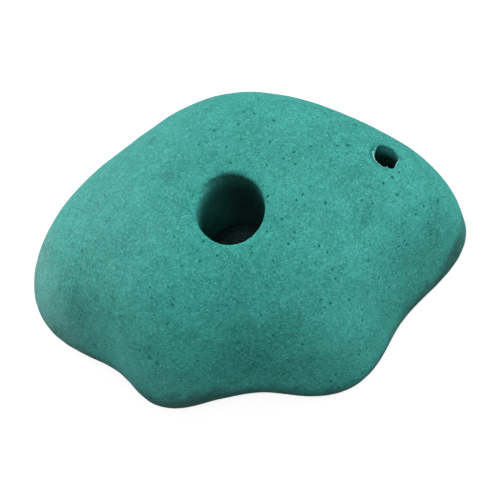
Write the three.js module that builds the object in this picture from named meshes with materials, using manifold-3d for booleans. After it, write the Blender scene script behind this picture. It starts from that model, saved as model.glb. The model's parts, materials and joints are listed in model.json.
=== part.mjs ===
// Climbing hold: one casting of sand-filled resin with a steel washer moulded into its bolt hole.
// Millimetres. The bolt axis is the Z axis, the flat back lies at Z = 0 and the dome rises along +Z.
// Directions are in degrees round the bolt axis, from +X towards +Y. The finger scoops face -Y.

import * as THREE from "three";
import { mergeVertices } from "three/addons/utils/BufferGeometryUtils.js";
import Module from "manifold-3d";

const manifold = await Module();
manifold.setup();

// Outline of the casting before its scoops, as reaches from the bolt axis every 15 degrees.
const holdReach = 76;
const hullReachShares = [
  1.03, 0.87, 0.79, 0.75, 0.745, 0.775, 0.79, 0.795, 0.8, 0.855, 0.9, 0.925,
  0.93, 0.88, 0.82, 0.69, 0.535, 0.58, 0.635, 0.635, 0.66, 0.715, 0.81, 0.9,
];

// Finger scoops: each has a direction, the depth it takes off the outline and half its spread.
// A scoop fades towards the crown, and the left one bends away from the fingers as it climbs.
const leftScoopAngle = 200;
const leftScoopDepth = 16;
const leftScoopHalfAngle = 22;
const leftScoopFadePower = 2;
const leftScoopBendAngle = 15;
const middleScoopAngle = 267;
const middleScoopDepth = 10;
const middleScoopHalfAngle = 22;
const rightScoopAngle = 335;
const rightScoopDepth = 12.5;
const rightScoopHalfAngle = 24;
const scoopFadePower = 2;

// Dome: its crown stands off the bolt axis, and its top leans a little towards the fingers.
const crownHeight = 51;
const crownRight = 3;
const crownBack = 12;
const crownRiseRightShare = 0.09;
const crownRiseBackShare = 0.04;
const flankPowers = [0.7, 0.61, 0.61, 0.61, 0.58, 0.85, 0.9, 0.85];
const fullnessPowers = [3.8, 4.8, 3.4, 2, 3, 5.4, 3.6, 3.7];

// Edge: the widest level, and how far the casting draws in from there to its ground back.
const widestHeight = 6.5;
const edgeTuck = 2.6;
const edgeTurnAngle = 62;

// Bolt hole: a counterbore for the head of an M10 cap screw, down to the washer.
const counterboreDiameter = 20;
const mouthRound = 2.6;
const mouthRoundShares = [0.4, 0.7, 1.1, 0.9, 0.2, 0.5, 0.9, 0.5];
const headSeatHeight = 25;
const boltHoleDiameter = 11.5;

// Washer, moulded in under the counterbore's floor.
const washerDiameter = 30;
const washerBore = 10.5;
const washerThickness = 2.5;
const washerEdgeBreak = 0.3;
const washerClearance = 0.3;

// Screw hole that stops the hold from spinning, with a torn skin of resin across its mouth.
const screwRight = 47;
const screwBack = 6.3;
const screwHeadBore = 8.8;
const screwShankBore = 6.4;
const screwSeatHeight = 12;
const screwSkin = 1.1;
const screwMouthReach = 4.2;
const screwMouthShares = [
  [0.88, -0.26], [0.84, 0.08], [0.68, 0.48], [0.38, 0.78], [0.02, 0.9], [-0.32, 0.8],
  [-0.64, 0.52], [-0.86, 0.12], [-0.88, -0.17], [-0.64, -0.5], [-0.36, -0.7], [0.02, -0.78],
  [0.06, -0.92], [0.18, -1.0], [0.36, -0.96], [0.62, -0.62],
];

// Steps of the mesh, and how far a cutting tool runs past what it cuts.
const roundSteps = 108;
const domeSteps = 22;
const edgeSteps = 4;
const boreSteps = 48;
const screwSteps = 32;
const mouthSteps = 4;
const mouthTurnAngle = 72;
const overrun = 4;

const resinMaterial = new THREE.MeshStandardMaterial({ color: 0x43a094, roughness: 0.8, metalness: 0 });
const steelMaterial = new THREE.MeshStandardMaterial({ color: 0x8d9499, roughness: 0.4, metalness: 1 });

const radians = THREE.MathUtils.degToRad;

// Smooth loop through a list of values that stand at equal steps round the bolt axis.
function blendRound(values, direction) {
  const place = THREE.MathUtils.euclideanModulo(direction / 360, 1) * values.length;
  const step = Math.floor(place);
  const part = place - step;
  const value = (offset) => values[(step + offset + values.length) % values.length];
  const before = (1 - part) ** 3;
  const first = 3 * part ** 3 - 6 * part ** 2 + 4;
  const second = 3 * (1 - part) ** 3 - 6 * (1 - part) ** 2 + 4;
  const after = part ** 3;
  return (before * value(-1) + first * value(0) + second * value(1) + after * value(2)) / 6;
}

function scoopDepth(direction, scoopAngle, depth, halfAngle) {
  const away = THREE.MathUtils.euclideanModulo(direction - scoopAngle + 180, 360) - 180;
  return depth * Math.exp(-((away / halfAngle) ** 2));
}

// Reach of the casting in a direction. The share is 0 at the crown and 1 at the widest level.
function reachAt(direction, share) {
  const leftAngle = leftScoopAngle - leftScoopBendAngle * (1 - share);
  const left = scoopDepth(direction, leftAngle, leftScoopDepth, leftScoopHalfAngle);
  const middle = scoopDepth(direction, middleScoopAngle, middleScoopDepth, middleScoopHalfAngle);
  const right = scoopDepth(direction, rightScoopAngle, rightScoopDepth, rightScoopHalfAngle);
  const hull = holdReach * blendRound(hullReachShares, direction);
  return hull - left * share ** leftScoopFadePower - (middle + right) * share ** scoopFadePower;
}

function domeHeight(x, y, direction, share) {
  const crown = crownHeight + crownRiseRightShare * x + crownRiseBackShare * y;
  const fall = 1 - share ** blendRound(fullnessPowers, direction);
  return widestHeight + (crown - widestHeight) * fall ** blendRound(flankPowers, direction);
}

function domePoint(direction, share) {
  const reach = reachAt(direction, share) * share;
  const x = crownRight * (1 - share) + reach * Math.cos(radians(direction));
  const y = crownBack * (1 - share) + reach * Math.sin(radians(direction));
  return new THREE.Vector3(x, y, domeHeight(x, y, direction, share));
}

// Height of the dome over a place in plan, found by closing in on the place's share.
function heightOver(x, y) {
  let share = 0.5;
  let direction = 0;
  for (let pass = 0; pass < 40; pass += 1) {
    const right = x - crownRight * (1 - share);
    const back = y - crownBack * (1 - share);
    direction = THREE.MathUtils.radToDeg(Math.atan2(back, right));
    share = (share + Math.min(Math.hypot(right, back) / reachAt(direction, share), 1)) / 2;
  }
  return domeHeight(x, y, direction, share);
}

// Closed skin over rings of points that all have the same count, with a point at each end.
function skinOver(bottom, rings, top) {
  const count = rings[0].length;
  const points = [bottom, ...rings.flat(), top];
  const last = points.length - 1;
  const faces = [];
  for (let step = 0; step < count; step += 1) {
    const next = (step + 1) % count;
    faces.push(0, 1 + next, 1 + step);
    for (let ring = 0; ring < rings.length - 1; ring += 1) {
      const here = 1 + ring * count;
      const above = here + count;
      faces.push(here + step, here + next, above + next);
      faces.push(here + step, above + next, above + step);
    }
    const rim = 1 + (rings.length - 1) * count;
    faces.push(last, rim + step, rim + next);
  }
  const geometry = new THREE.BufferGeometry().setFromPoints(points);
  geometry.setIndex(faces);
  return geometry;
}

function ringOf(steps, pointAt) {
  return Array.from({ length: steps }, (unused, step) => pointAt((360 * step) / steps));
}

function solidOf(geometry) {
  const bare = geometry.clone();
  bare.deleteAttribute("normal");
  bare.deleteAttribute("uv");
  const merged = mergeVertices(bare);
  const triVerts = new Uint32Array(merged.index.array);
  const vertProperties = new Float32Array(merged.attributes.position.array);
  return new manifold.Manifold(new manifold.Mesh({ numProp: 3, vertProperties, triVerts }));
}

function geometryOf(solid) {
  const mesh = solid.getMesh();
  const geometry = new THREE.BufferGeometry();
  geometry.setAttribute("position", new THREE.BufferAttribute(mesh.vertProperties, 3));
  geometry.setIndex(new THREE.BufferAttribute(mesh.triVerts, 1));
  geometry.computeVertexNormals();
  return geometry;
}

// Round tool standing on Z, from one height to another, over a place in plan.
function drill(diameter, from, to, x, y, steps) {
  const geometry = new THREE.CylinderGeometry(diameter / 2, diameter / 2, to - from, steps);
  geometry.rotateX(radians(90));
  geometry.translate(x, y, (from + to) / 2);
  return solidOf(geometry);
}

// The plain casting: a ground back, a turned-under edge and the dome with its scoops.
function castingBlank() {
  const backRing = (share) =>
    ringOf(roundSteps, (direction) => {
      const reach = (reachAt(direction, 1) - edgeTuck) * share;
      return new THREE.Vector3(reach * Math.cos(radians(direction)), reach * Math.sin(radians(direction)), 0);
    });
  const rings = [backRing(1 / 2)];
  for (let step = 0; step < edgeSteps; step += 1) {
    const turn = radians(edgeTurnAngle * (1 - step / edgeSteps));
    const drawnIn = (edgeTuck * (1 - Math.cos(turn))) / (1 - Math.cos(radians(edgeTurnAngle)));
    const height = widestHeight * (1 - Math.sin(turn) / Math.sin(radians(edgeTurnAngle)));
    rings.push(
      ringOf(roundSteps, (direction) => {
        const reach = reachAt(direction, 1) - drawnIn;
        return new THREE.Vector3(reach * Math.cos(radians(direction)), reach * Math.sin(radians(direction)), height);
      }),
    );
  }
  for (let step = domeSteps; step > 0; step -= 1) {
    const share = Math.sin(radians((90 * step) / domeSteps));
    rings.push(ringOf(roundSteps, (direction) => domePoint(direction, share)));
  }
  return solidOf(skinOver(new THREE.Vector3(0, 0, 0), rings, domePoint(0, 0)));
}

// Tool for the counterbore. Its mouth follows the slope of the dome and is rounder at some sides.
function counterboreTool() {
  const radius = counterboreDiameter / 2;
  const pointAt = (direction, reach, heightAt) => {
    const x = reach * Math.cos(radians(direction));
    const y = reach * Math.sin(radians(direction));
    return new THREE.Vector3(x, y, heightAt(x, y));
  };
  const mouthRing = (turnAngle, rise) =>
    ringOf(boreSteps, (direction) => {
      const round = mouthRound * blendRound(mouthRoundShares, direction);
      const outward = round * (1 - Math.cos(radians(turnAngle))) + rise * Math.tan(radians(turnAngle));
      const sunk = round * (1 - Math.sin(radians(turnAngle))) - rise;
      return pointAt(direction, radius + outward, (x, y) => heightOver(x, y) - sunk);
    });
  const rings = [ringOf(boreSteps, (direction) => pointAt(direction, radius, () => headSeatHeight))];
  for (let step = 0; step <= mouthSteps; step += 1) {
    rings.push(mouthRing((mouthTurnAngle * step) / mouthSteps, 0));
  }
  // Past the mouth the tool carries on at the slope that the round ends with.
  rings.push(mouthRing(mouthTurnAngle, overrun / 4));
  const top = new THREE.Vector3(0, 0, heightOver(0, 0) + overrun);
  return solidOf(skinOver(new THREE.Vector3(0, 0, headSeatHeight), rings, top));
}

// Room for the washer, open to the counterbore above it and to the bolt hole below it.
function washerPocket() {
  const diameter = washerDiameter + 2 * washerClearance;
  const floor = headSeatHeight - washerThickness;
  return drill(diameter, floor, headSeatHeight + washerClearance, 0, 0, boreSteps);
}

// Bore for the screw's head. It stops one skin's thickness under the dome and follows its slope.
function screwHeadTool() {
  const radius = screwHeadBore / 2;
  const ringAt = (heightAt) =>
    ringOf(screwSteps, (direction) => {
      const x = screwRight + radius * Math.cos(radians(direction));
      const y = screwBack + radius * Math.sin(radians(direction));
      return new THREE.Vector3(x, y, heightAt(x, y));
    });
  const underSkin = (x, y) => heightOver(x, y) - screwSkin;
  const rings = [ringAt(() => screwSeatHeight), ringAt(underSkin)];
  const bottom = new THREE.Vector3(screwRight, screwBack, screwSeatHeight);
  const top = new THREE.Vector3(screwRight, screwBack, underSkin(screwRight, screwBack));
  return solidOf(skinOver(bottom, rings, top));
}

// Torn mouth through the skin, with a chip broken out at its near edge.
function screwMouthTool() {
  const corners = screwMouthShares.map(([right, back]) => {
    const x = screwRight + right * screwMouthReach;
    const y = screwBack + back * screwMouthReach;
    return new THREE.Vector3(x, y, heightOver(x, y));
  });
  const ringAt = (rise) => corners.map((corner) => corner.clone().setZ(corner.z + rise));
  const middle = new THREE.Vector3(screwRight, screwBack, heightOver(screwRight, screwBack));
  const bottom = middle.clone().setZ(middle.z - screwSkin - overrun / 8);
  const top = middle.clone().setZ(middle.z + overrun);
  return solidOf(skinOver(bottom, [ringAt(-screwSkin - overrun / 8), ringAt(overrun)], top));
}

function holdBody() {
  const tools = [
    counterboreTool(),
    washerPocket(),
    drill(boltHoleDiameter, -overrun, headSeatHeight, 0, 0, boreSteps),
    screwHeadTool(),
    screwMouthTool(),
    drill(screwShankBore, -overrun, screwSeatHeight + overrun, screwRight, screwBack, screwSteps),
  ];
  const casting = tools.reduce((solid, tool) => solid.subtract(tool), castingBlank());
  const mesh = new THREE.Mesh(geometryOf(casting), resinMaterial);
  mesh.name = "hold_body";
  return mesh;
}

function boltWasher() {
  const inner = washerBore / 2;
  const outer = washerDiameter / 2;
  const profile = [
    [inner, 0],
    [outer, 0],
    [outer, washerThickness - washerEdgeBreak],
    [outer - washerEdgeBreak, washerThickness],
    [counterboreDiameter / 2, washerThickness],
    [inner + washerEdgeBreak, washerThickness],
    [inner, washerThickness - washerEdgeBreak],
    [inner, 0],
  ];
  const points = profile.map(([radius, height]) => new THREE.Vector2(radius, height));
  const geometry = new THREE.LatheGeometry(points, boreSteps);
  geometry.rotateX(radians(90));
  const mesh = new THREE.Mesh(geometry, steelMaterial);
  mesh.name = "bolt_washer";
  mesh.position.z = headSeatHeight - washerThickness;
  return mesh;
}

const climbingHold = new THREE.Group();
climbingHold.add(holdBody(), boltWasher());

export default climbingHold;
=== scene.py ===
# %% [markdown]
# # A climbing hold of sand-filled resin
# This lesson dresses a finished CAD model, so the sizes are settled before it starts. The hold is one
# casting of coloured resin and quartz sand, with a steel washer moulded in at the foot of its bolt hole.
# The model is loaded first and never moved. Everything else is looks: the fine relief of the casting,
# its grain, bubbles and wear, the dull steel, the light and the camera.

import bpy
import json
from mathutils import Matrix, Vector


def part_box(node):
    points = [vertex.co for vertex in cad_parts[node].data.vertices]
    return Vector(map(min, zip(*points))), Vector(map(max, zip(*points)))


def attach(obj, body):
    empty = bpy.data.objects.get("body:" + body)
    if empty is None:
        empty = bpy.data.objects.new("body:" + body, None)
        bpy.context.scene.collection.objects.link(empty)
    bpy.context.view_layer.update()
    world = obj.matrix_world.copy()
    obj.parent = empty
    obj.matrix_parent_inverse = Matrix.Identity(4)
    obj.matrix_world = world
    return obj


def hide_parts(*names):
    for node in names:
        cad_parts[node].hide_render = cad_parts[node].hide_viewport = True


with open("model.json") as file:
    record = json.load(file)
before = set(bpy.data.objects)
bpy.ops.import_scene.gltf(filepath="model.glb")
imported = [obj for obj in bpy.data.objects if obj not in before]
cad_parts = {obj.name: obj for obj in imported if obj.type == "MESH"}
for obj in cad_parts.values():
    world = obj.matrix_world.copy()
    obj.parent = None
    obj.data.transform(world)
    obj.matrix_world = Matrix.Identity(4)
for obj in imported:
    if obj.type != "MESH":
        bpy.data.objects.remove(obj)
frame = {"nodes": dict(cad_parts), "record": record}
print("CAD nodes", sorted(frame["nodes"]))

# %% Imports, millimetres and an updated view layer
import json
import math

import bpy
import numpy as np
from mathutils import Matrix, Vector

MM = 0.001


def mm(*lengths):
    """Lengths given in millimetres, as metres."""
    return tuple(length * MM for length in lengths)


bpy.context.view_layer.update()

# %% [markdown]
# ## The camera
# The photograph looks down on the hold from the side of its finger scoops, about 60 degrees above the
# wall plane, with the bolt axis leaning to the left. A long lens keeps the far lobe from shrinking.
# A height, a distance and a target place the camera. The lean is a turn about the line of sight.

# %% Place the camera
CAMERA_ELEVATION = 60
CAMERA_DISTANCE = 441 * MM
CAMERA_ROLL = 13.35
CAMERA_TARGET = Vector((3, 11.9, 6.95)) * MM
LENS = 100
SENSOR_WIDTH = 36

camera_data = bpy.data.cameras.new("camera")
camera_data.lens = LENS
camera_data.sensor_width = SENSOR_WIDTH
camera = bpy.data.objects.new("camera", camera_data)
bpy.context.scene.collection.objects.link(camera)
bpy.context.scene.camera = camera

elevation = math.radians(CAMERA_ELEVATION)
camera.location = Vector((0, -math.cos(elevation), math.sin(elevation))) * CAMERA_DISTANCE
look = (CAMERA_TARGET - camera.location).to_track_quat("-Z", "Y")
lean = Matrix.Rotation(math.radians(-CAMERA_ROLL), 4, "Z")
camera.rotation_euler = (look.to_matrix().to_4x4() @ lean).to_euler()
print("camera at", [round(v, 3) for v in camera.location])

# %% [markdown]
# ## Shader sums as Python
# A material is a web of small nodes. They could be placed and linked one by one, but a long pattern is
# then hard to follow. Wrapping a node's output in a class that knows plus, minus and times lets a
# pattern be written as an ordinary expression, and one method adds every other kind of node.


# %% A wire that can be used in sums
class Wire:
    """One output of a shader node, used like a number."""

    def __init__(self, web, socket):
        self.web = web
        self.socket = socket

    def sum_of(self, operation, first, second):
        return self.web.node("ShaderNodeMath", {"operation": operation}, {0: first, 1: second})

    def __add__(self, other):
        return self.sum_of("ADD", self, other)

    __radd__ = __add__

    def __sub__(self, other):
        return self.sum_of("SUBTRACT", self, other)

    def __rsub__(self, other):
        return self.sum_of("SUBTRACT", other, self)

    def __mul__(self, other):
        return self.sum_of("MULTIPLY", self, other)

    __rmul__ = __mul__

    def __pow__(self, power):
        return self.sum_of("POWER", self, power)

    def either(self, other):
        """The larger of two masks, so that either is enough."""
        return self.sum_of("MAXIMUM", self, other)

    def swing(self, amount):
        """A pattern from 0 to 1, turned into a push of up to half the amount both ways."""
        return (self - 0.5) * amount

    def above(self, low, high):
        """0 below low, 1 above high, and a smooth step between."""
        return self.web.node(
            "ShaderNodeMapRange",
            {"interpolation_type": "SMOOTHSTEP"},
            {"Value": self, "From Min": low, "From Max": high},
        )

    def below(self, low, high):
        """1 below low, 0 above high, and a smooth step between."""
        return 1 - self.above(low, high)

    def between(self, start, full, ebb, end):
        """0 up to the start, 1 from full to ebb, 0 past the end, and smooth steps between."""
        return self.above(start, full) * self.below(ebb, end)


# %% A web of nodes, with the one method that adds to it
class Web:
    """The nodes of a material or of the world."""

    def __init__(self, owner, output_kind):
        self.owner = owner
        self.output_kind = output_kind
        self.owner.use_nodes = True
        self.tree = self.owner.node_tree
        self.tree.nodes.clear()

    def node(self, kind, settings=None, inputs=None, output=0):
        """Add a node: its settings first, then the value or the wire of each socket."""
        made = self.tree.nodes.new(kind)
        for key, value in (settings or {}).items():
            setattr(made, key, value)
        for key, value in (inputs or {}).items():
            if isinstance(value, Wire):
                self.tree.links.new(value.socket, made.inputs[key])
            else:
                made.inputs[key].default_value = value
        return Wire(self, made.outputs[output]) if made.outputs else None

    def count(self, step):
        print(self.owner.name, "after", step, "has", len(self.tree.nodes), "nodes")

    def surface(self, shader):
        """Send the finished shader to the output."""
        self.node(self.output_kind, None, {"Surface": shader})
        self.count("its output")


# %% A material that knows places and patterns
class Finish(Web):
    """A material of its own, whose patterns are all laid on the object's own coordinates."""

    def __init__(self, name):
        super().__init__(bpy.data.materials.new(name), "ShaderNodeOutputMaterial")

    def cover(self, piece, shader):
        """Finish the material and put it on a piece."""
        self.surface(shader)
        piece.data.materials.clear()
        piece.data.materials.append(self.owner)

    def place(self):
        """Where the point lies on the object, in metres."""
        return self.node("ShaderNodeTexCoord", output="Object")

    def axis(self, name):
        return self.node("ShaderNodeSeparateXYZ", None, {0: self.place()}, output=name)

    def moved(self, place, by):
        return self.node("ShaderNodeVectorMath", {"operation": "ADD"}, {0: place, 1: by})

    def ruffled(self, size, amount):
        """The place, pushed about by noise, so that round patterns on it come out ragged."""
        inputs = {"Vector": self.place(), "Scale": 1 / size}
        push = self.node("ShaderNodeTexNoise", None, inputs, output="Color")
        sums = {0: push, 1: (amount, amount, amount), 2: self.place()}
        return self.node("ShaderNodeVectorMath", {"operation": "MULTIPLY_ADD"}, sums)

    def away_from(self, spot, place=None):
        """Distance in metres from one spot."""
        inputs = {0: place or self.place(), 1: spot}
        return self.node("ShaderNodeVectorMath", {"operation": "DISTANCE"}, inputs, output="Value")

    def clouds(self, size, detail=2.0, roughness=0.5, shift=(0, 0, 0), place=None):
        """Soft noise from 0 to 1 whose blots are about the given size."""
        spot = self.moved(place or self.place(), shift)
        inputs = {"Vector": spot, "Scale": 1 / size, "Detail": detail, "Roughness": roughness}
        return self.node("ShaderNodeTexNoise", None, inputs)

    def cells(self, size, output="Distance", shift=(0, 0, 0), place=None):
        """Points about the given size apart: the distance to the nearest, or its own colour."""
        inputs = {"Vector": self.moved(place or self.place(), shift), "Scale": 1 / size}
        return self.node("ShaderNodeTexVoronoi", {"feature": "F1"}, inputs, output=output)

    def chance(self, size, shift=(0, 0, 0), place=None):
        """A number from 0 to 1 that is the same all over one cell."""
        colour = self.cells(size, "Color", shift, place)
        return self.node("ShaderNodeSeparateColor", None, {0: colour}, output="Red")

    def mix(self, factor, first, second):
        inputs = {0: factor, 6: first, 7: second}
        return self.node("ShaderNodeMix", {"data_type": "RGBA"}, inputs, output=2)


# %% [markdown]
# ## Floor and light
# The photograph is cut out on white. Its light rakes in low from the back left and from the right, with
# some from high at the front left, so the finger side and the holes stay dark. A white floor and sky
# would throw light back up into them. So both are dim to the light, and white only to the camera and to
# rays that a mirror or glass passes on to it. Far off, the floor glows as white as the sky, which hides
# its edge.


# %% Tell what is seen from what only lights
def seen(web):
    """1 for the camera's rays and for those by way of a mirror or glass, 0 for all others."""
    mask = web.node("ShaderNodeLightPath", output="Is Camera Ray")
    for kind in ("Is Glossy Ray", "Is Transmission Ray"):
        mask = mask.either(web.node("ShaderNodeLightPath", output=kind))
    return mask


# %% Lay the floor
FLOOR_SIZE = 3.0
FLOOR_DROP = 0.2 * MM

bpy.ops.object.select_all(action="DESELECT")
bpy.ops.mesh.primitive_plane_add(size=FLOOR_SIZE, location=(0, 0, -FLOOR_DROP))
floor = bpy.context.active_object
floor.name = "floor"
print("floor is", FLOOR_SIZE, "m wide")

# %% Paint the floor
WHITE = (1, 1, 1, 1)
WHITE_STRENGTH = 1
FLOOR_UNSEEN = (0.05, 0.05, 0.05, 1)
FLOOR_SEEN = (0.4, 0.4, 0.4, 1)
FLOOR_GLOW = 0.76
FLOOR_FADE = (0.15, 0.5)

paint = Finish("floor_white")
unseen_floor = paint.node("ShaderNodeBsdfDiffuse", None, {"Color": FLOOR_UNSEEN})
shaded = paint.node("ShaderNodeBsdfDiffuse", None, {"Color": FLOOR_SEEN})
glow = paint.node("ShaderNodeEmission", None, {"Color": WHITE, "Strength": FLOOR_GLOW})
near_floor = paint.node("ShaderNodeAddShader", None, {0: shaded, 1: glow})
far_floor = paint.node("ShaderNodeEmission", None, {"Color": WHITE, "Strength": WHITE_STRENGTH})
far = paint.away_from((0, 0, 0)).above(*FLOOR_FADE)
seen_floor = paint.node("ShaderNodeMixShader", None, {0: far, 1: near_floor, 2: far_floor})
floor_shader = paint.node("ShaderNodeMixShader", None, {0: seen(paint), 1: unseen_floor, 2: seen_floor})
paint.cover(floor, floor_shader)

# %% Hang the lamps
LAMP_DISTANCE = 0.8
LAMP_SIZE = 0.4


def soft_lamp(name, bearing, height, power):
    """A square soft box aimed at the hold, placed by its bearing and its height over the floor."""
    lamp_data = bpy.data.lights.new(name, "AREA")
    lamp_data.energy = power
    lamp_data.size = LAMP_SIZE
    lamp = bpy.data.objects.new(name, lamp_data)
    turn, rise = math.radians(bearing), math.radians(height)
    side = Vector((math.cos(turn) * math.cos(rise), math.sin(turn) * math.cos(rise), math.sin(rise)))
    lamp.location = side * LAMP_DISTANCE
    lamp.rotation_euler = side.to_track_quat("Z", "Y").to_euler()
    bpy.context.scene.collection.objects.link(lamp)
    print(name, "of", power, "W, bearing", bearing, "height", height)


soft_lamp("back_lamp", bearing=125, height=12, power=5.2)
soft_lamp("low_side_lamp", bearing=0, height=20, power=2.1)
soft_lamp("side_lamp", bearing=20, height=30, power=2.45)
soft_lamp("top_lamp", bearing=240, height=60, power=3.05)

# %% Light the sky
SKY_STRENGTH = 0.2

studio = bpy.data.worlds.new("studio")
bpy.context.scene.world = studio
sky = Web(studio, "ShaderNodeOutputWorld")
unseen_sky = sky.node("ShaderNodeBackground", None, {"Color": WHITE, "Strength": SKY_STRENGTH})
seen_sky = sky.node("ShaderNodeBackground", None, {"Color": WHITE, "Strength": WHITE_STRENGTH})
sky.surface(sky.node("ShaderNodeMixShader", None, {0: seen(sky), 1: unseen_sky, 2: seen_sky}))
bpy.context.scene.view_settings.view_transform = "Standard"
print("sky strength", SKY_STRENGTH)

# %% [markdown]
# ## The casting
# The real hold was cast in a rubber mould, so its skin is soft and rounded everywhere except at the
# ground back and the holes. The CAD solid has the right form in flat facets. Subdividing its long, thin
# triangles would keep their creases. A voxel remesh of a copy gives even, tiny faces instead, a smooth
# pass over them melts the facets, and the copy then stands for the node.

# %% Copy the casting and merge its loose triangles
MERGE_DISTANCE = 0.005 * MM

bpy.ops.object.select_all(action="DESELECT")
casting = frame["nodes"]["hold_body"].copy()
casting.data = casting.data.copy()
casting.name = "resin_casting"
casting.parent = None
casting.matrix_world = Matrix.Identity(4)
bpy.context.scene.collection.objects.link(casting)
casting.select_set(True)
bpy.context.view_layer.objects.active = casting
bpy.ops.object.mode_set(mode="EDIT")
bpy.ops.mesh.select_all(action="SELECT")
bpy.ops.mesh.remove_doubles(threshold=MERGE_DISTANCE)
bpy.ops.object.mode_set(mode="OBJECT")
print("merged casting has", len(casting.data.vertices), "corners")

# %% Remesh it finely
VOXEL = 0.7 * MM

remesh = casting.modifiers.new("fine_faces", "REMESH")
remesh.mode = "VOXEL"
remesh.voxel_size = VOXEL
bpy.ops.object.modifier_apply(modifier=remesh.name)
print("remeshed casting has", len(casting.data.polygons), "faces")

# %% Find where the holes are
openings = {o["name"]: o["box_m"] for o in frame["record"]["physics"]["openings"]}
screw_box = openings["screw_mouth"]
SCREW_PLACE = [(screw_box[0][axis] + screw_box[1][axis]) / 2 for axis in (0, 1)]
print("screw hole at", [round(v, 4) for v in SCREW_PLACE])


# %% Helpers that find and mark corners
def corners_of(piece):
    """The corners of a piece as rows of x, y, z."""
    places = np.empty(len(piece.data.vertices) * 3)
    piece.data.vertices.foreach_get("co", places)
    return places.reshape(-1, 3)


def move_corners(piece, places):
    piece.data.vertices.foreach_set("co", places.ravel())
    piece.data.update()


def fade(values, low, high):
    """0 below low, 1 above high, straight between."""
    return np.clip((values - low) / (high - low), 0, 1)


def mark(piece, name, weights):
    """Keep a weight for each corner under a name that modifiers can use."""
    group = piece.vertex_groups.new(name=name)
    for index, weight in enumerate(weights):
        group.add([index], float(weight), "REPLACE")
    print(name, "covers", int((weights > 0.5).sum()), "corners")


SMOOTHING = 0.5


def even_out(piece, name, group, passes):
    """Smooth the marked part of a piece."""
    smooth = piece.modifiers.new(name, "SMOOTH")
    smooth.vertex_group = group
    smooth.factor = SMOOTHING
    smooth.iterations = passes
    bpy.ops.object.modifier_apply(modifier=smooth.name)
    print(name, "took", passes, "passes")


# %% Melt the facets, but keep the rims and the ground back
SKIN_FROM_BOLT = mm(12, 16)
SKIN_FROM_SCREW = mm(5, 9)
SKIN_FROM_BACK = mm(0.3, 4)
MELT_PASSES = 18

places = corners_of(casting)
from_bolt = np.hypot(places[:, 0], places[:, 1])
from_screw = np.hypot(places[:, 0] - SCREW_PLACE[0], places[:, 1] - SCREW_PLACE[1])
open_skin = fade(from_bolt, *SKIN_FROM_BOLT) * fade(from_screw, *SKIN_FROM_SCREW)
open_skin *= fade(places[:, 2], *SKIN_FROM_BACK)
mark(casting, "open_skin", open_skin)
even_out(casting, "melt_facets", "open_skin", MELT_PASSES)

# %% [markdown]
# ## Hand and mould
# The pattern for such a hold is shaped by hand in foam, so its skin is never quite even. Sculpting each
# hollow would be slow and never the same twice. Displace pushes corners along their normals by a cloud
# texture instead. With a high middle level it presses inwards, so the casting doesn't grow.

# %% Press the skin in a little
DENT_LEVEL = 0.8
DENT_DETAIL = 2
HOLLOW_SIZE = 11 * MM
HOLLOW_DEPTH = 0.5 * MM


def press_in(piece, name, group, size, depth):
    """Press hollows of about the given size into the marked part of a piece."""
    dents = bpy.data.textures.new(name, "CLOUDS")
    dents.noise_scale = size
    dents.noise_depth = DENT_DETAIL
    push = piece.modifiers.new(name, "DISPLACE")
    push.texture = dents
    push.texture_coords = "LOCAL"
    push.vertex_group = group
    push.mid_level = DENT_LEVEL
    push.strength = depth
    bpy.ops.object.modifier_apply(modifier=push.name)
    print(name, "pressed in by up to", round(depth / MM, 2), "mm")


press_in(casting, "hand_hollows", "open_skin", HOLLOW_SIZE, HOLLOW_DEPTH)

# %% [markdown]
# ## The rims of the holes
# Bolt heads and keys knock grains out of the rims, most on the back left of the bolt hole, which the
# light rakes across. The same Displace makes the crumbs, with small clouds and a mask that is a ring
# round each hole. A few smoothing passes then round the sides that the photograph shows soft.

# %% Crumble the rims
BACK_LEFT = (-0.6, 0.8)
CRUMB_SIZE = 1.6 * MM
CRUMB_DEPTH = 0.7 * MM
LEAST_CRUMBLE = 0.35
LIP_CRUMBLE = 0.6
RIM_RING = mm(9.6, 10, 11.5, 14)
RIM_HEIGHTS = mm(44, 48)
LIP_RING = mm(3, 3.4, 5, 6.5)
LIP_HEIGHTS = mm(42, 45)


def ring(distance, start, full, ebb, end):
    """0 up to the start, 1 from full to ebb, 0 past the end, straight between."""
    return fade(distance, start, full) * (1 - fade(distance, ebb, end))


rim_side = (places[:, 0] * BACK_LEFT[0] + places[:, 1] * BACK_LEFT[1]) / np.maximum(from_bolt, MM)
rim_side = np.clip(rim_side, 0, 1)
at_rim = ring(from_bolt, *RIM_RING) * fade(places[:, 2], *RIM_HEIGHTS)
at_rim *= LEAST_CRUMBLE + (1 - LEAST_CRUMBLE) * rim_side
at_lip = ring(from_screw, *LIP_RING) * fade(places[:, 2], *LIP_HEIGHTS)
mark(casting, "rims", np.maximum(at_rim, LIP_CRUMBLE * at_lip))
press_in(casting, "crumbled_rims", "rims", CRUMB_SIZE, CRUMB_DEPTH)

# %% Round the rims where the light shows them soft
RIM_WEAR = 0.6
WORN_RING = mm(8.5, 9.5, 11, 13)
WORN_HEIGHTS = mm(45, 48)
WORN_LIP_REACH = mm(5, 7)
WORN_LIP_HEIGHTS = mm(43, 46)
WEAR_PASSES = 16

worn_rim = RIM_WEAR * rim_side * ring(from_bolt, *WORN_RING) * fade(places[:, 2], *WORN_HEIGHTS)
worn_lip = np.clip((SCREW_PLACE[0] - places[:, 0]) / np.maximum(from_screw, MM), 0, 1)
worn_lip *= (1 - fade(from_screw, *WORN_LIP_REACH)) * fade(places[:, 2], *WORN_LIP_HEIGHTS)
mark(casting, "worn_rims", np.maximum(worn_rim, worn_lip))
even_out(casting, "wear_rims", "worn_rims", WEAR_PASSES)

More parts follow.
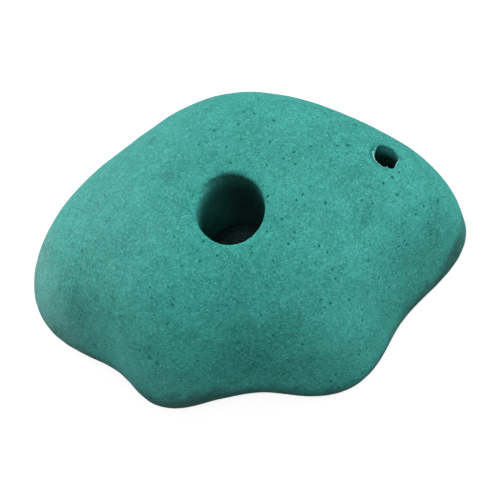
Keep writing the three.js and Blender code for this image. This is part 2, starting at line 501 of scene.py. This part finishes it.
# %% [markdown]
# ## The torn lip
# A skin of resin hung over the left of the screw hole when it left the mould, and tipped inwards when
# the first screw tore it. The near edges of both holes are worn a little open. These are moves of a few
# corners by their place, so they are worked out on the corners at once, with no modifier.

# %% Tip the left of the screw's lip inwards
LIP_REACH = 5.8 * MM
LIP_WIDTH = 3 * MM
LIP_DROP = 1.5 * MM
LIP_LEAN = 0.8
TIPPED_HEIGHTS = mm(45, 48)

places = corners_of(casting)
leftward = np.clip(SCREW_PLACE[0] - places[:, 0], 0, LIP_WIDTH) / LIP_WIDTH
tip = np.clip(LIP_REACH - from_screw, 0, LIP_DROP) * leftward
tip *= fade(places[:, 2], *TIPPED_HEIGHTS)
tipped = places.copy()
tipped[:, 2] -= tip
tipped[:, 0] += tip * LIP_LEAN
print("lip tips in by up to", round(tip.max() / MM, 2), "mm")

# %% Open the near edges and move the corners
EDGE_OPENING = 0.65 * MM
OPENED_RIM_REACH = mm(10.5, 14)
OPENED_RIM_HEIGHTS = mm(44, 49)
OPENED_LIP_REACH = mm(4.6, 7)
OPENED_LIP_HEIGHTS = mm(42, 46)

near_rim = np.clip(-places[:, 1] / np.maximum(from_bolt, MM), 0, 1)
near_rim *= (1 - fade(from_bolt, *OPENED_RIM_REACH)) * fade(places[:, 2], *OPENED_RIM_HEIGHTS)
near_lip = np.clip((SCREW_PLACE[1] - places[:, 1]) / np.maximum(from_screw, MM), 0, 1)
near_lip *= (1 - fade(from_screw, *OPENED_LIP_REACH)) * fade(places[:, 2], *OPENED_LIP_HEIGHTS)
opening = np.maximum(near_rim, near_lip) * EDGE_OPENING
tipped[:, 1] -= opening
move_corners(casting, tipped)
print("near edges opened by up to", round(opening.max() / MM, 2), "mm")

# %% [markdown]
# ## True to size again
# Smoothing draws a rounded form in and the hollows are pressed inwards, so the casting is by now a
# little small. Scaling it would move the holes. An even push along the normals puts the skin back, and
# what would stand out of the CAD model's box is brought back to its face.

# %% Make up for what the smoothing took
SHRINKAGE = 0.22 * MM

fill = casting.modifiers.new("fill_out", "DISPLACE")
fill.vertex_group = "open_skin"
fill.mid_level = 0
fill.strength = SHRINKAGE
bpy.ops.object.modifier_apply(modifier=fill.name)
print("skin filled out by", round(SHRINKAGE / MM, 2), "mm")

# %% Keep it inside the model's box
lowest, highest = (np.array(corner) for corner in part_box("hold_body"))
places = np.clip(corners_of(casting), lowest, highest)
move_corners(casting, places)
print("casting spans", places.min(0).round(4), places.max(0).round(4))

# %% Stand the casting in for its node
bpy.ops.object.shade_smooth()
casting.vertex_groups.clear()
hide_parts("hold_body")
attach(casting, "root")
casting.data.calc_loop_triangles()
print("casting has", len(casting.data.loop_triangles), "triangles")

# %% [markdown]
# ## The resin
# Sea-green pigment, pale quartz sand and a few air bubbles. A picture of sand would repeat and blur
# close up, so each is a scatter made by nodes at its own scale. One tone from 0 to 1 runs from the deep
# to the pale colour, and five patterns push it: cells under half a millimetre for the grains, and
# clouds up to 16 mm for the blots where pigment gathered.

# %% Lay out the patterns
GRAIN_SIZE = 0.4 * MM
FINE_SIZE = 0.6 * MM
SOFT_SIZE = 1.6 * MM
BLOT_SIZE = 5 * MM
WIDE_SIZE = 16 * MM

resin = Finish("sea_green_resin")
height = resin.axis("Z")
across = resin.axis("X")
along = resin.axis("Y")
grain = resin.chance(GRAIN_SIZE)
fine = resin.clouds(FINE_SIZE, roughness=0.7)
soft = resin.clouds(SOFT_SIZE, roughness=0.55, shift=(0.2, 0.1, 0.4))
blots = resin.clouds(BLOT_SIZE, detail=3, roughness=0.55, shift=(0.5, 0.2, 0.1))
wide = resin.clouds(WIDE_SIZE, shift=(0.3, 0.6, 0.2))
resin.count("its patterns")

# %% Add them up to a tone
MIDDLE_TONE = 0.5
SPECKLES = ((grain, 0.32), (fine, 0.74), (soft, 0.5), (blots, 0.36))
WIDE_SWING = 0.3
CONTRAST = 1.1
BACK_PLACES = mm(-15, 45)
BACK_CALM = 0.25
LEFT_PLACES = mm(-58, -30)
LEFT_CONTRAST = 0.6

speckle = sum(pattern.swing(amount) for pattern, amount in SPECKLES)
contrast = CONTRAST - along.above(*BACK_PLACES) * BACK_CALM
contrast = contrast + across.below(*LEFT_PLACES) * LEFT_CONTRAST
tone = MIDDLE_TONE + speckle * contrast + wide.swing(WIDE_SWING)
resin.count("its tone")

# %% [markdown]
# ## Painted shade in the scoops, painted light on the ridges
# The middle scoop is painted darker as shade, and the ridges and the left edge are painted paler as
# light. A mask by height alone can't tell a scoop from a ridge, so each place is a soft ball round a
# spot on the skin: its centre and reach in millimetres, and how much it changes the tone.

# %% Paint shade into the scoops and light onto the ridges
RESIN_DEEP = (0.017, 0.17, 0.146, 1)
RESIN_PALE = (0.11, 0.69, 0.6, 1)
TONE_RANGE = 0.71
SHADING_CORE = 0.15
PAINTED_LIGHT_AND_SHADE = (
    ((-4.5, -33, 22), 17, -0.22),
    ((6, -31, 33), 9, -0.12),
    ((23, -33, 29), 14, 0.18),
    ((36, -18, 39.5), 11, 0.12),
    ((50, -9, 38), 13, 0.14),
    ((-42.5, -19.5, 20), 15, 0.28),
    ((-60, 5, 20), 15, 0.27),
)

for spot, reach, change in PAINTED_LIGHT_AND_SHADE:
    near = resin.away_from(Vector(spot) * MM).below(SHADING_CORE * reach * MM, reach * MM)
    # Positive changes paint light onto the tone, negative ones paint shade.
    tone = tone + near * change
base = resin.mix(tone * TONE_RANGE, RESIN_DEEP, RESIN_PALE)
resin.count("its tints")

# %% [markdown]
# ## Sand and bubbles
# Some grains at the surface are pale, and a few flecks are painted glints, pale colour that stands in for
# light caught by the sand. Bubbles leave round pits, more of them to the right, painted dark as the shade
# inside them. Modelled one by one they would cost millions of faces. Cells make them all: the distance
# to a cell's point draws a fleck or a pit, and the cell's own number picks the pale grains and decides
# which pits are there.

# %% Scatter pale sand grains and painted glints in it
SAND = (0.17, 0.66, 0.58, 1)
SPARKLE = (0.32, 0.78, 0.7, 1)
SAND_SIZE = 0.5 * MM
SAND_ODDS = (0.86, 0.97)
SAND_STRENGTH = 0.32
SPARK_GAP = 2.4 * MM
SPARK_REACH = (0.04, 0.095)
SPARK_STRENGTH = 0.65

sand = resin.chance(SAND_SIZE, shift=(0.3, 0.8, 0.1)).above(*SAND_ODDS)
base = resin.mix(sand * SAND_STRENGTH, base, SAND)
# The flecks are painted glints: pale colour standing in for light caught by sand grains.
sparks = resin.cells(SPARK_GAP, shift=(0.7, 0.2, 0.6)).below(*SPARK_REACH)
base = resin.mix(sparks * SPARK_STRENGTH, base, SPARKLE)
resin.count("its sand")

# %% Set bubbles into it
PIT_SHADE = (0, 0.11, 0.09, 1)
PINHOLE_STRENGTH = 0.85
SMALL_HOLE_STRENGTH = 0.6
RUFFLE_SIZE = 0.8 * MM
RUFFLE = 0.5 * MM
RIGHT_PLACES = mm(-25, 25)

ragged = resin.ruffled(RUFFLE_SIZE, RUFFLE)
rightward = across.above(*RIGHT_PLACES)


def bubbles(gap, shift, reach, odds, more_at_right):
    """Ragged pits in some of the cells, which lie about a gap apart."""
    pit = resin.cells(gap, shift=shift, place=ragged).below(*reach)
    number = resin.chance(gap, shift, ragged)
    return pit * (number + rightward * more_at_right).above(*odds)


pinholes = bubbles(
    gap=2.6 * MM, shift=(0.1, 0.5, 0.3), reach=(0.09, 0.23), odds=(0.7, 1.0), more_at_right=0.3
)
small_holes = bubbles(
    gap=1.3 * MM, shift=(0.6, 0.3, 0.9), reach=(0.1, 0.24), odds=(0.76, 1.0), more_at_right=0.15
)
pits = pinholes * PINHOLE_STRENGTH + small_holes * SMALL_HOLE_STRENGTH
# The pits are painted dark as the shade inside them.
base = resin.mix(pits, base, PIT_SHADE)
resin.count("its bubbles")

# %% [markdown]
# ## Painted shade at the foot, dust and sheen on top
# The foot of the casting is painted darker as shade where it meets the wall, most at the front. Chalk
# dust and painted grazing sheen grey the skin, most at the left and along the left and back edges, and
# less of it lies on the grip above the middle scoop and on the bolt's rim. Painted masks would need a
# picture, so each is a step by height, by place or by distance, broken up by the same clouds. The
# shade's line drops or rises in steps from left to right: each step is given by where it starts and
# ends and how far the line drops there, in millimetres.

# %% Paint shade along the foot
FOOT_SHADE = (0.026, 0.085, 0.078, 1)
FOOT_HEIGHTS = mm(7, 14)
FOOT_FRONT = mm(-12, 10)
FOOT_AT_BACK = 0.2
FOOT_LEAST = 0.45
FOOT_PATCHES = 0.7
BLOT_RAGGED = 7 * MM
FINE_RAGGED = 5 * MM
LEFT_DROP = 3
FOOT_STEPS = (
    (-45, -30, -LEFT_DROP),
    (-25, -5, 2.5),
    (-5, 40, 2.5),
    (28, 45, -3),
    (55, 68, -7),
)

foot_line = height + LEFT_DROP * MM + blots.swing(BLOT_RAGGED) + fine.swing(FINE_RAGGED)
for from_x, to_x, drop in FOOT_STEPS:
    foot_line = foot_line + across.above(*mm(from_x, to_x)) * (drop * MM)
frontness = FOOT_AT_BACK + (1 - FOOT_AT_BACK) * along.below(*FOOT_FRONT)
foot = foot_line.below(*FOOT_HEIGHTS) * frontness
# The foot is painted darker as shade, most at the front.
base = resin.mix(foot * (FOOT_LEAST + fine * FOOT_PATCHES), base, FOOT_SHADE)
resin.count("its foot")


# %% Grey the skin with dust and painted sheen, most at the left and the back
def off_axis(dx, dy):
    """Distance from an axis along Z, from the two distances beside it."""
    return (dx * dx + dy * dy) ** 0.5


CHALK_AND_SHEEN = (0.3, 0.42, 0.4, 1)
DUST_AND_SHEEN_STRENGTH = 0.15
LEAST_DUST_AND_SHEEN = 0.25
DUST_AND_SHEEN_PATCHES = 0.6
GREY_LEFT = mm(-60, 5)
GRIP_PLACE = (-8, -26, 34)
GRIP_REACH = mm(12, 38)
GRIP_CLEAN = 0.9
RIM_REACH = mm(11, 17)
RIM_CLEAN = 0.7
LEFT_EDGE = mm(-64, -50)
LEFT_EDGE_SHEEN = 2
BACK_EDGE = mm(38, 56)
BACK_EDGE_SHEEN = 0.6

grip = resin.away_from(Vector(GRIP_PLACE) * MM).below(*GRIP_REACH)
bolt_rim = off_axis(across, along).below(*RIM_REACH)
dust_and_sheen = LEAST_DUST_AND_SHEEN + (1 - LEAST_DUST_AND_SHEEN) * across.below(*GREY_LEFT)
dust_and_sheen = dust_and_sheen * (1 - GRIP_CLEAN * grip) * (1 - RIM_CLEAN * bolt_rim)
# Chalk dust and painted grazing sheen share this grey; the left and back edges take painted sheen.
dust_and_sheen = dust_and_sheen + across.below(*LEFT_EDGE) * LEFT_EDGE_SHEEN + along.above(*BACK_EDGE) * BACK_EDGE_SHEEN
patchy_dust_and_sheen = dust_and_sheen * (1 - DUST_AND_SHEEN_PATCHES + DUST_AND_SHEEN_PATCHES * blots)
base = resin.mix(patchy_dust_and_sheen * DUST_AND_SHEEN_STRENGTH, base, CHALK_AND_SHEEN)
resin.count("its dust")

# %% [markdown]
# ## Smudges
# A few brownish smudges sit on the near left lobe, and fainter ones are spread over the rest. The last
# spot is painted shade in a faint groove right of the screw hole. As with the painted light and shade,
# each is a ball round a spot: its centre and reach in millimetres, and its strength. The spots are
# measured on the ruffled place, so their outlines come out ragged.

# %% Smudge it
SMUDGE = (0.022, 0.085, 0.062, 1)
SMUDGE_CORE = 0.3
SMUDGE_LEAST = 0.4
SMUDGES = (
    ((-33.2, -28.2, 27.8), 1.3, 0.95),
    ((-31.3, -29.7, 26.2), 1.2, 0.85),
    ((-33.2, -26.7, 30.7), 2.4, 0.3),
    ((-55.4, 2.6, 27.4), 1.5, 0.4),
    ((-51.5, -4, 27.5), 8, 0.17),
    ((-17.5, 36.1, 43.2), 3, 0.25),
    ((-15.2, 17.5, 49.2), 3.5, 0.25),
    ((35.7, -11, 47), 6, 0.12),
    ((58.2, -8.5, 28.6), 5, 0.1),
    # This spot is painted shade in a faint groove right of the screw hole.
    ((51.8, 5.6, 46.9), 1.3, 0.4),
)

for spot, reach, strength in SMUDGES:
    near = resin.away_from(Vector(spot) * MM, ragged).below(reach * SMUDGE_CORE * MM, reach * MM)
    base = resin.mix(near * (SMUDGE_LEAST + blots) * strength, base, SMUDGE)
resin.count("its smudges")

# %% [markdown]
# ## Painted shade in the holes
# The bolt hole is painted nearly black, as shade with some old grime, most on the side turned from the
# lamps, where it reaches up to the mouth. Lamps alone would leave the wall too green. A mask says where a
# point is inside a bore, how deep it lies under the slanting mouth and how far it is turned to the dark
# side. The screw hole takes the same mask with weaker painted shade.

# %% Measure how much painted shade a bore takes
BORE_SHADE = (0.003, 0.011, 0.0095, 1)
DARK_SIDE = (0.56, 0.83)
DARK_END = 0.95
MOST_SHADE = 0.99
WALL_RAGGED = 1.2 * MM
WALL_STEP = 1 * MM
OFF_THE_BACK = mm(0.3, 1)
MOUTH_STEP = mm(-0.2, 0.8)


def darkwards(dx, dy):
    """How far a point lies towards the side that the lamps leave dark."""
    return dx * DARK_SIDE[0] + dy * DARK_SIDE[1]


def bore_shade(place, radius, mouth_height, mouth_rise, dark_from, skin, wall, depths):
    """How much painted shade a bore's wall takes: most on its dark side, and more with the depth under
    its mouth.
    """
    dx = across - place[0]
    dy = along - place[1]
    ragged_radius = off_axis(dx, dy) + fine.swing(WALL_RAGGED)
    inside = ragged_radius.below(radius, radius + WALL_STEP) * height.above(*OFF_THE_BACK)
    dark = darkwards(dx, dy).above(dark_from * radius, DARK_END * radius)
    depth = mouth_height + dx * mouth_rise[0] + dy * mouth_rise[1] - height
    wall_shade = dark * skin + depth.above(*depths) * (wall + dark * (MOST_SHADE - wall - skin))
    return inside * depth.above(*MOUTH_STEP) * wall_shade


# %% Blacken the holes
BORE_RADIUS = 10 * MM
SCREW_RADIUS = 4.4 * MM

bolt_shade = bore_shade(
    place=mm(0.6, 1.3),
    radius=BORE_RADIUS + 0.5 * MM,
    mouth_height=50.6 * MM,
    mouth_rise=(0.085, 0.1),
    dark_from=-0.25,
    skin=0.92,
    wall=0.46,
    depths=mm(1, 7),
)
screw_shade = bore_shade(
    place=SCREW_PLACE,
    radius=SCREW_RADIUS - 0.2 * MM,
    mouth_height=48.9 * MM,
    mouth_rise=(-0.47, 0.05),
    dark_from=-0.1,
    skin=0.15,
    wall=0.2,
    depths=mm(1.5, 7),
)
# Both holes take painted shade, with some grime, from these masks.
base = resin.mix(bolt_shade, base, BORE_SHADE)
base = resin.mix(screw_shade, base, BORE_SHADE)
resin.count("its grime")

# %% [markdown]
# ## Painted highlight and shade on the lip
# The torn lip gets a thin painted highlight along its edge, with painted shade on the slope outside it.
# Both are rings round the screw's axis, drawn inwards at the left to follow the tipped skin, and kept
# to the top of the hole. The pale one is broken into patches and fades on the dark side.

# %% Paint shade on the tipped lip and a highlight on its edge
LIP_HIGHLIGHT = (0.45, 0.82, 0.75, 1)
LIP_SHIFT = 1.2 * MM
SHADED_HEIGHTS = mm(44, 46)
SLOPE_RING = mm(4.2, 4.5, 5, 5.8)
SLOPE_PATCHES = 0.5
EDGE_RING = mm(3.6, 4.1, 4.3, 4.6)
EDGE_LIT = mm(-1, 2.5)
EDGE_PATCHES = (0.35, 0.7)

lip_x = across - SCREW_PLACE[0]
lip_y = along - SCREW_PLACE[1]
leftness = (0 - lip_x).above(0, LIP_WIDTH)
off_lip = off_axis(lip_x, lip_y) + leftness * LIP_SHIFT
near_mouth = height.above(*SHADED_HEIGHTS)
shaded_slope = leftness * off_lip.between(*SLOPE_RING) * near_mouth
# Painted shade on the tipped slope, then a painted highlight along the edge.
base = resin.mix(shaded_slope * (1 - SLOPE_PATCHES + SLOPE_PATCHES * fine), base, RESIN_DEEP)
highlight_edge = off_lip.between(*EDGE_RING) * near_mouth * darkwards(lip_x, lip_y).below(*EDGE_LIT)
base = resin.mix(highlight_edge * fine.above(*EDGE_PATCHES), base, LIP_HIGHLIGHT)
resin.count("its lip")

# %% [markdown]
# ## The ground back
# The back was poured level and then ground flat on a belt, which cuts through the sand and leaves pale,
# straight scratches. A Mapping node stretches a noise into streaks, and only the flat back takes it.

# %% Grind the back
GROUND = (0.13, 0.43, 0.38, 1)
GROUND_LEAST = 0.25
GROUND_STREAKS = 0.5
GROUND_HEIGHTS = mm(0.03, 0.3)
BELT_TURN = 0.35
STREAK_SIZE = 9 * MM
STREAK_STRETCH = 22

belt = {"Rotation": (0, 0, BELT_TURN), "Scale": (1, STREAK_STRETCH, 1)}
streak_place = resin.node("ShaderNodeMapping", None, {"Vector": resin.place(), **belt})
streaks = resin.clouds(STREAK_SIZE, detail=3, roughness=0.6, place=streak_place)
ground = height.below(*GROUND_HEIGHTS)
base = resin.mix(ground * (GROUND_LEAST + GROUND_STREAKS * streaks), base, GROUND)
resin.count("its back")

# %% [markdown]
# ## Relief and shine
# The skin feels like fine sandpaper and hardly shines. Relief this fine is too much for a mesh, so a
# Bump node leans the light by the same grains, clouds and pinholes that colour the skin. The flecks are
# a little glossier, and the painted shade in the bolt hole is duller.

# %% Roughen it and join the shader
RELIEF_STRENGTH = 0.5
RELIEF_HEIGHT = 0.12 * MM
RELIEFS = ((grain, 0.4), (fine, 1.0), (soft, 0.6), (pinholes, -1.3))
STREAK_RELIEF = 1.5
GROUND_AWAY = 0.7
SHINE = 0.03
ROUGHNESS = 0.68
SPARK_GLOSS = 0.2
SHADE_DULLNESS = 0.3

relief = sum(pattern * share for pattern, share in RELIEFS)
relief = relief + ground * (streaks * STREAK_RELIEF - relief * GROUND_AWAY)
bump_sockets = {"Strength": RELIEF_STRENGTH, "Distance": RELIEF_HEIGHT, "Height": relief}
resin_sockets = {
    "Base Color": base,
    "Roughness": ROUGHNESS - sparks * SPARK_GLOSS + bolt_shade * SHADE_DULLNESS,
    "Normal": resin.node("ShaderNodeBump", None, bump_sockets),
    "Specular IOR Level": SHINE,
}
resin.cover(casting, resin.node("ShaderNodeBsdfPrincipled", None, resin_sockets))

# %% [markdown]
# ## The washer
# A stamped steel ring, dulled by the resin it was cast in. Only its top shows, deep in the bolt hole,
# so its colour is painted dark as the shade there, darkest near the wall, and worn brighter where bolt
# heads have turned on it. The CAD ring has the right shape already, so it keeps its mesh and takes a
# material only.

# %% Dull steel for the washer, painted dark as shade
SHADED_STEEL = (0.004, 0.016, 0.015, 1)
SHADED_WORN_STEEL = (0.045, 0.09, 0.09, 1)
METALNESS = 0.8
STEEL_ROUGHNESS = 0.45
SCUFF_ROUGHNESS = 0.2
SCUFF_SIZE = 2.5 * MM
SCUFF_AT_WALL = 0.3
HEAD_RADIUS = 8 * MM
HEAD_EDGE = 0.6 * MM
HEAD_RAGGED = 1 * MM

steel = Finish("dull_steel")
scuffs = steel.clouds(SCUFF_SIZE, detail=4, roughness=0.6)
from_axis = off_axis(steel.axis("X"), steel.axis("Y")) + scuffs.swing(HEAD_RAGGED)
under_head = from_axis.below(HEAD_RADIUS - HEAD_EDGE, HEAD_RADIUS + HEAD_EDGE)
worn = scuffs * (SCUFF_AT_WALL + (1 - SCUFF_AT_WALL) * under_head)
steel_sockets = {
    "Base Color": steel.mix(worn, SHADED_STEEL, SHADED_WORN_STEEL),
    "Metallic": METALNESS,
    "Roughness": STEEL_ROUGHNESS + scuffs * SCUFF_ROUGHNESS,
}
steel_shader = steel.node("ShaderNodeBsdfPrincipled", None, steel_sockets)
steel.cover(frame["nodes"]["bolt_washer"], steel_shader)
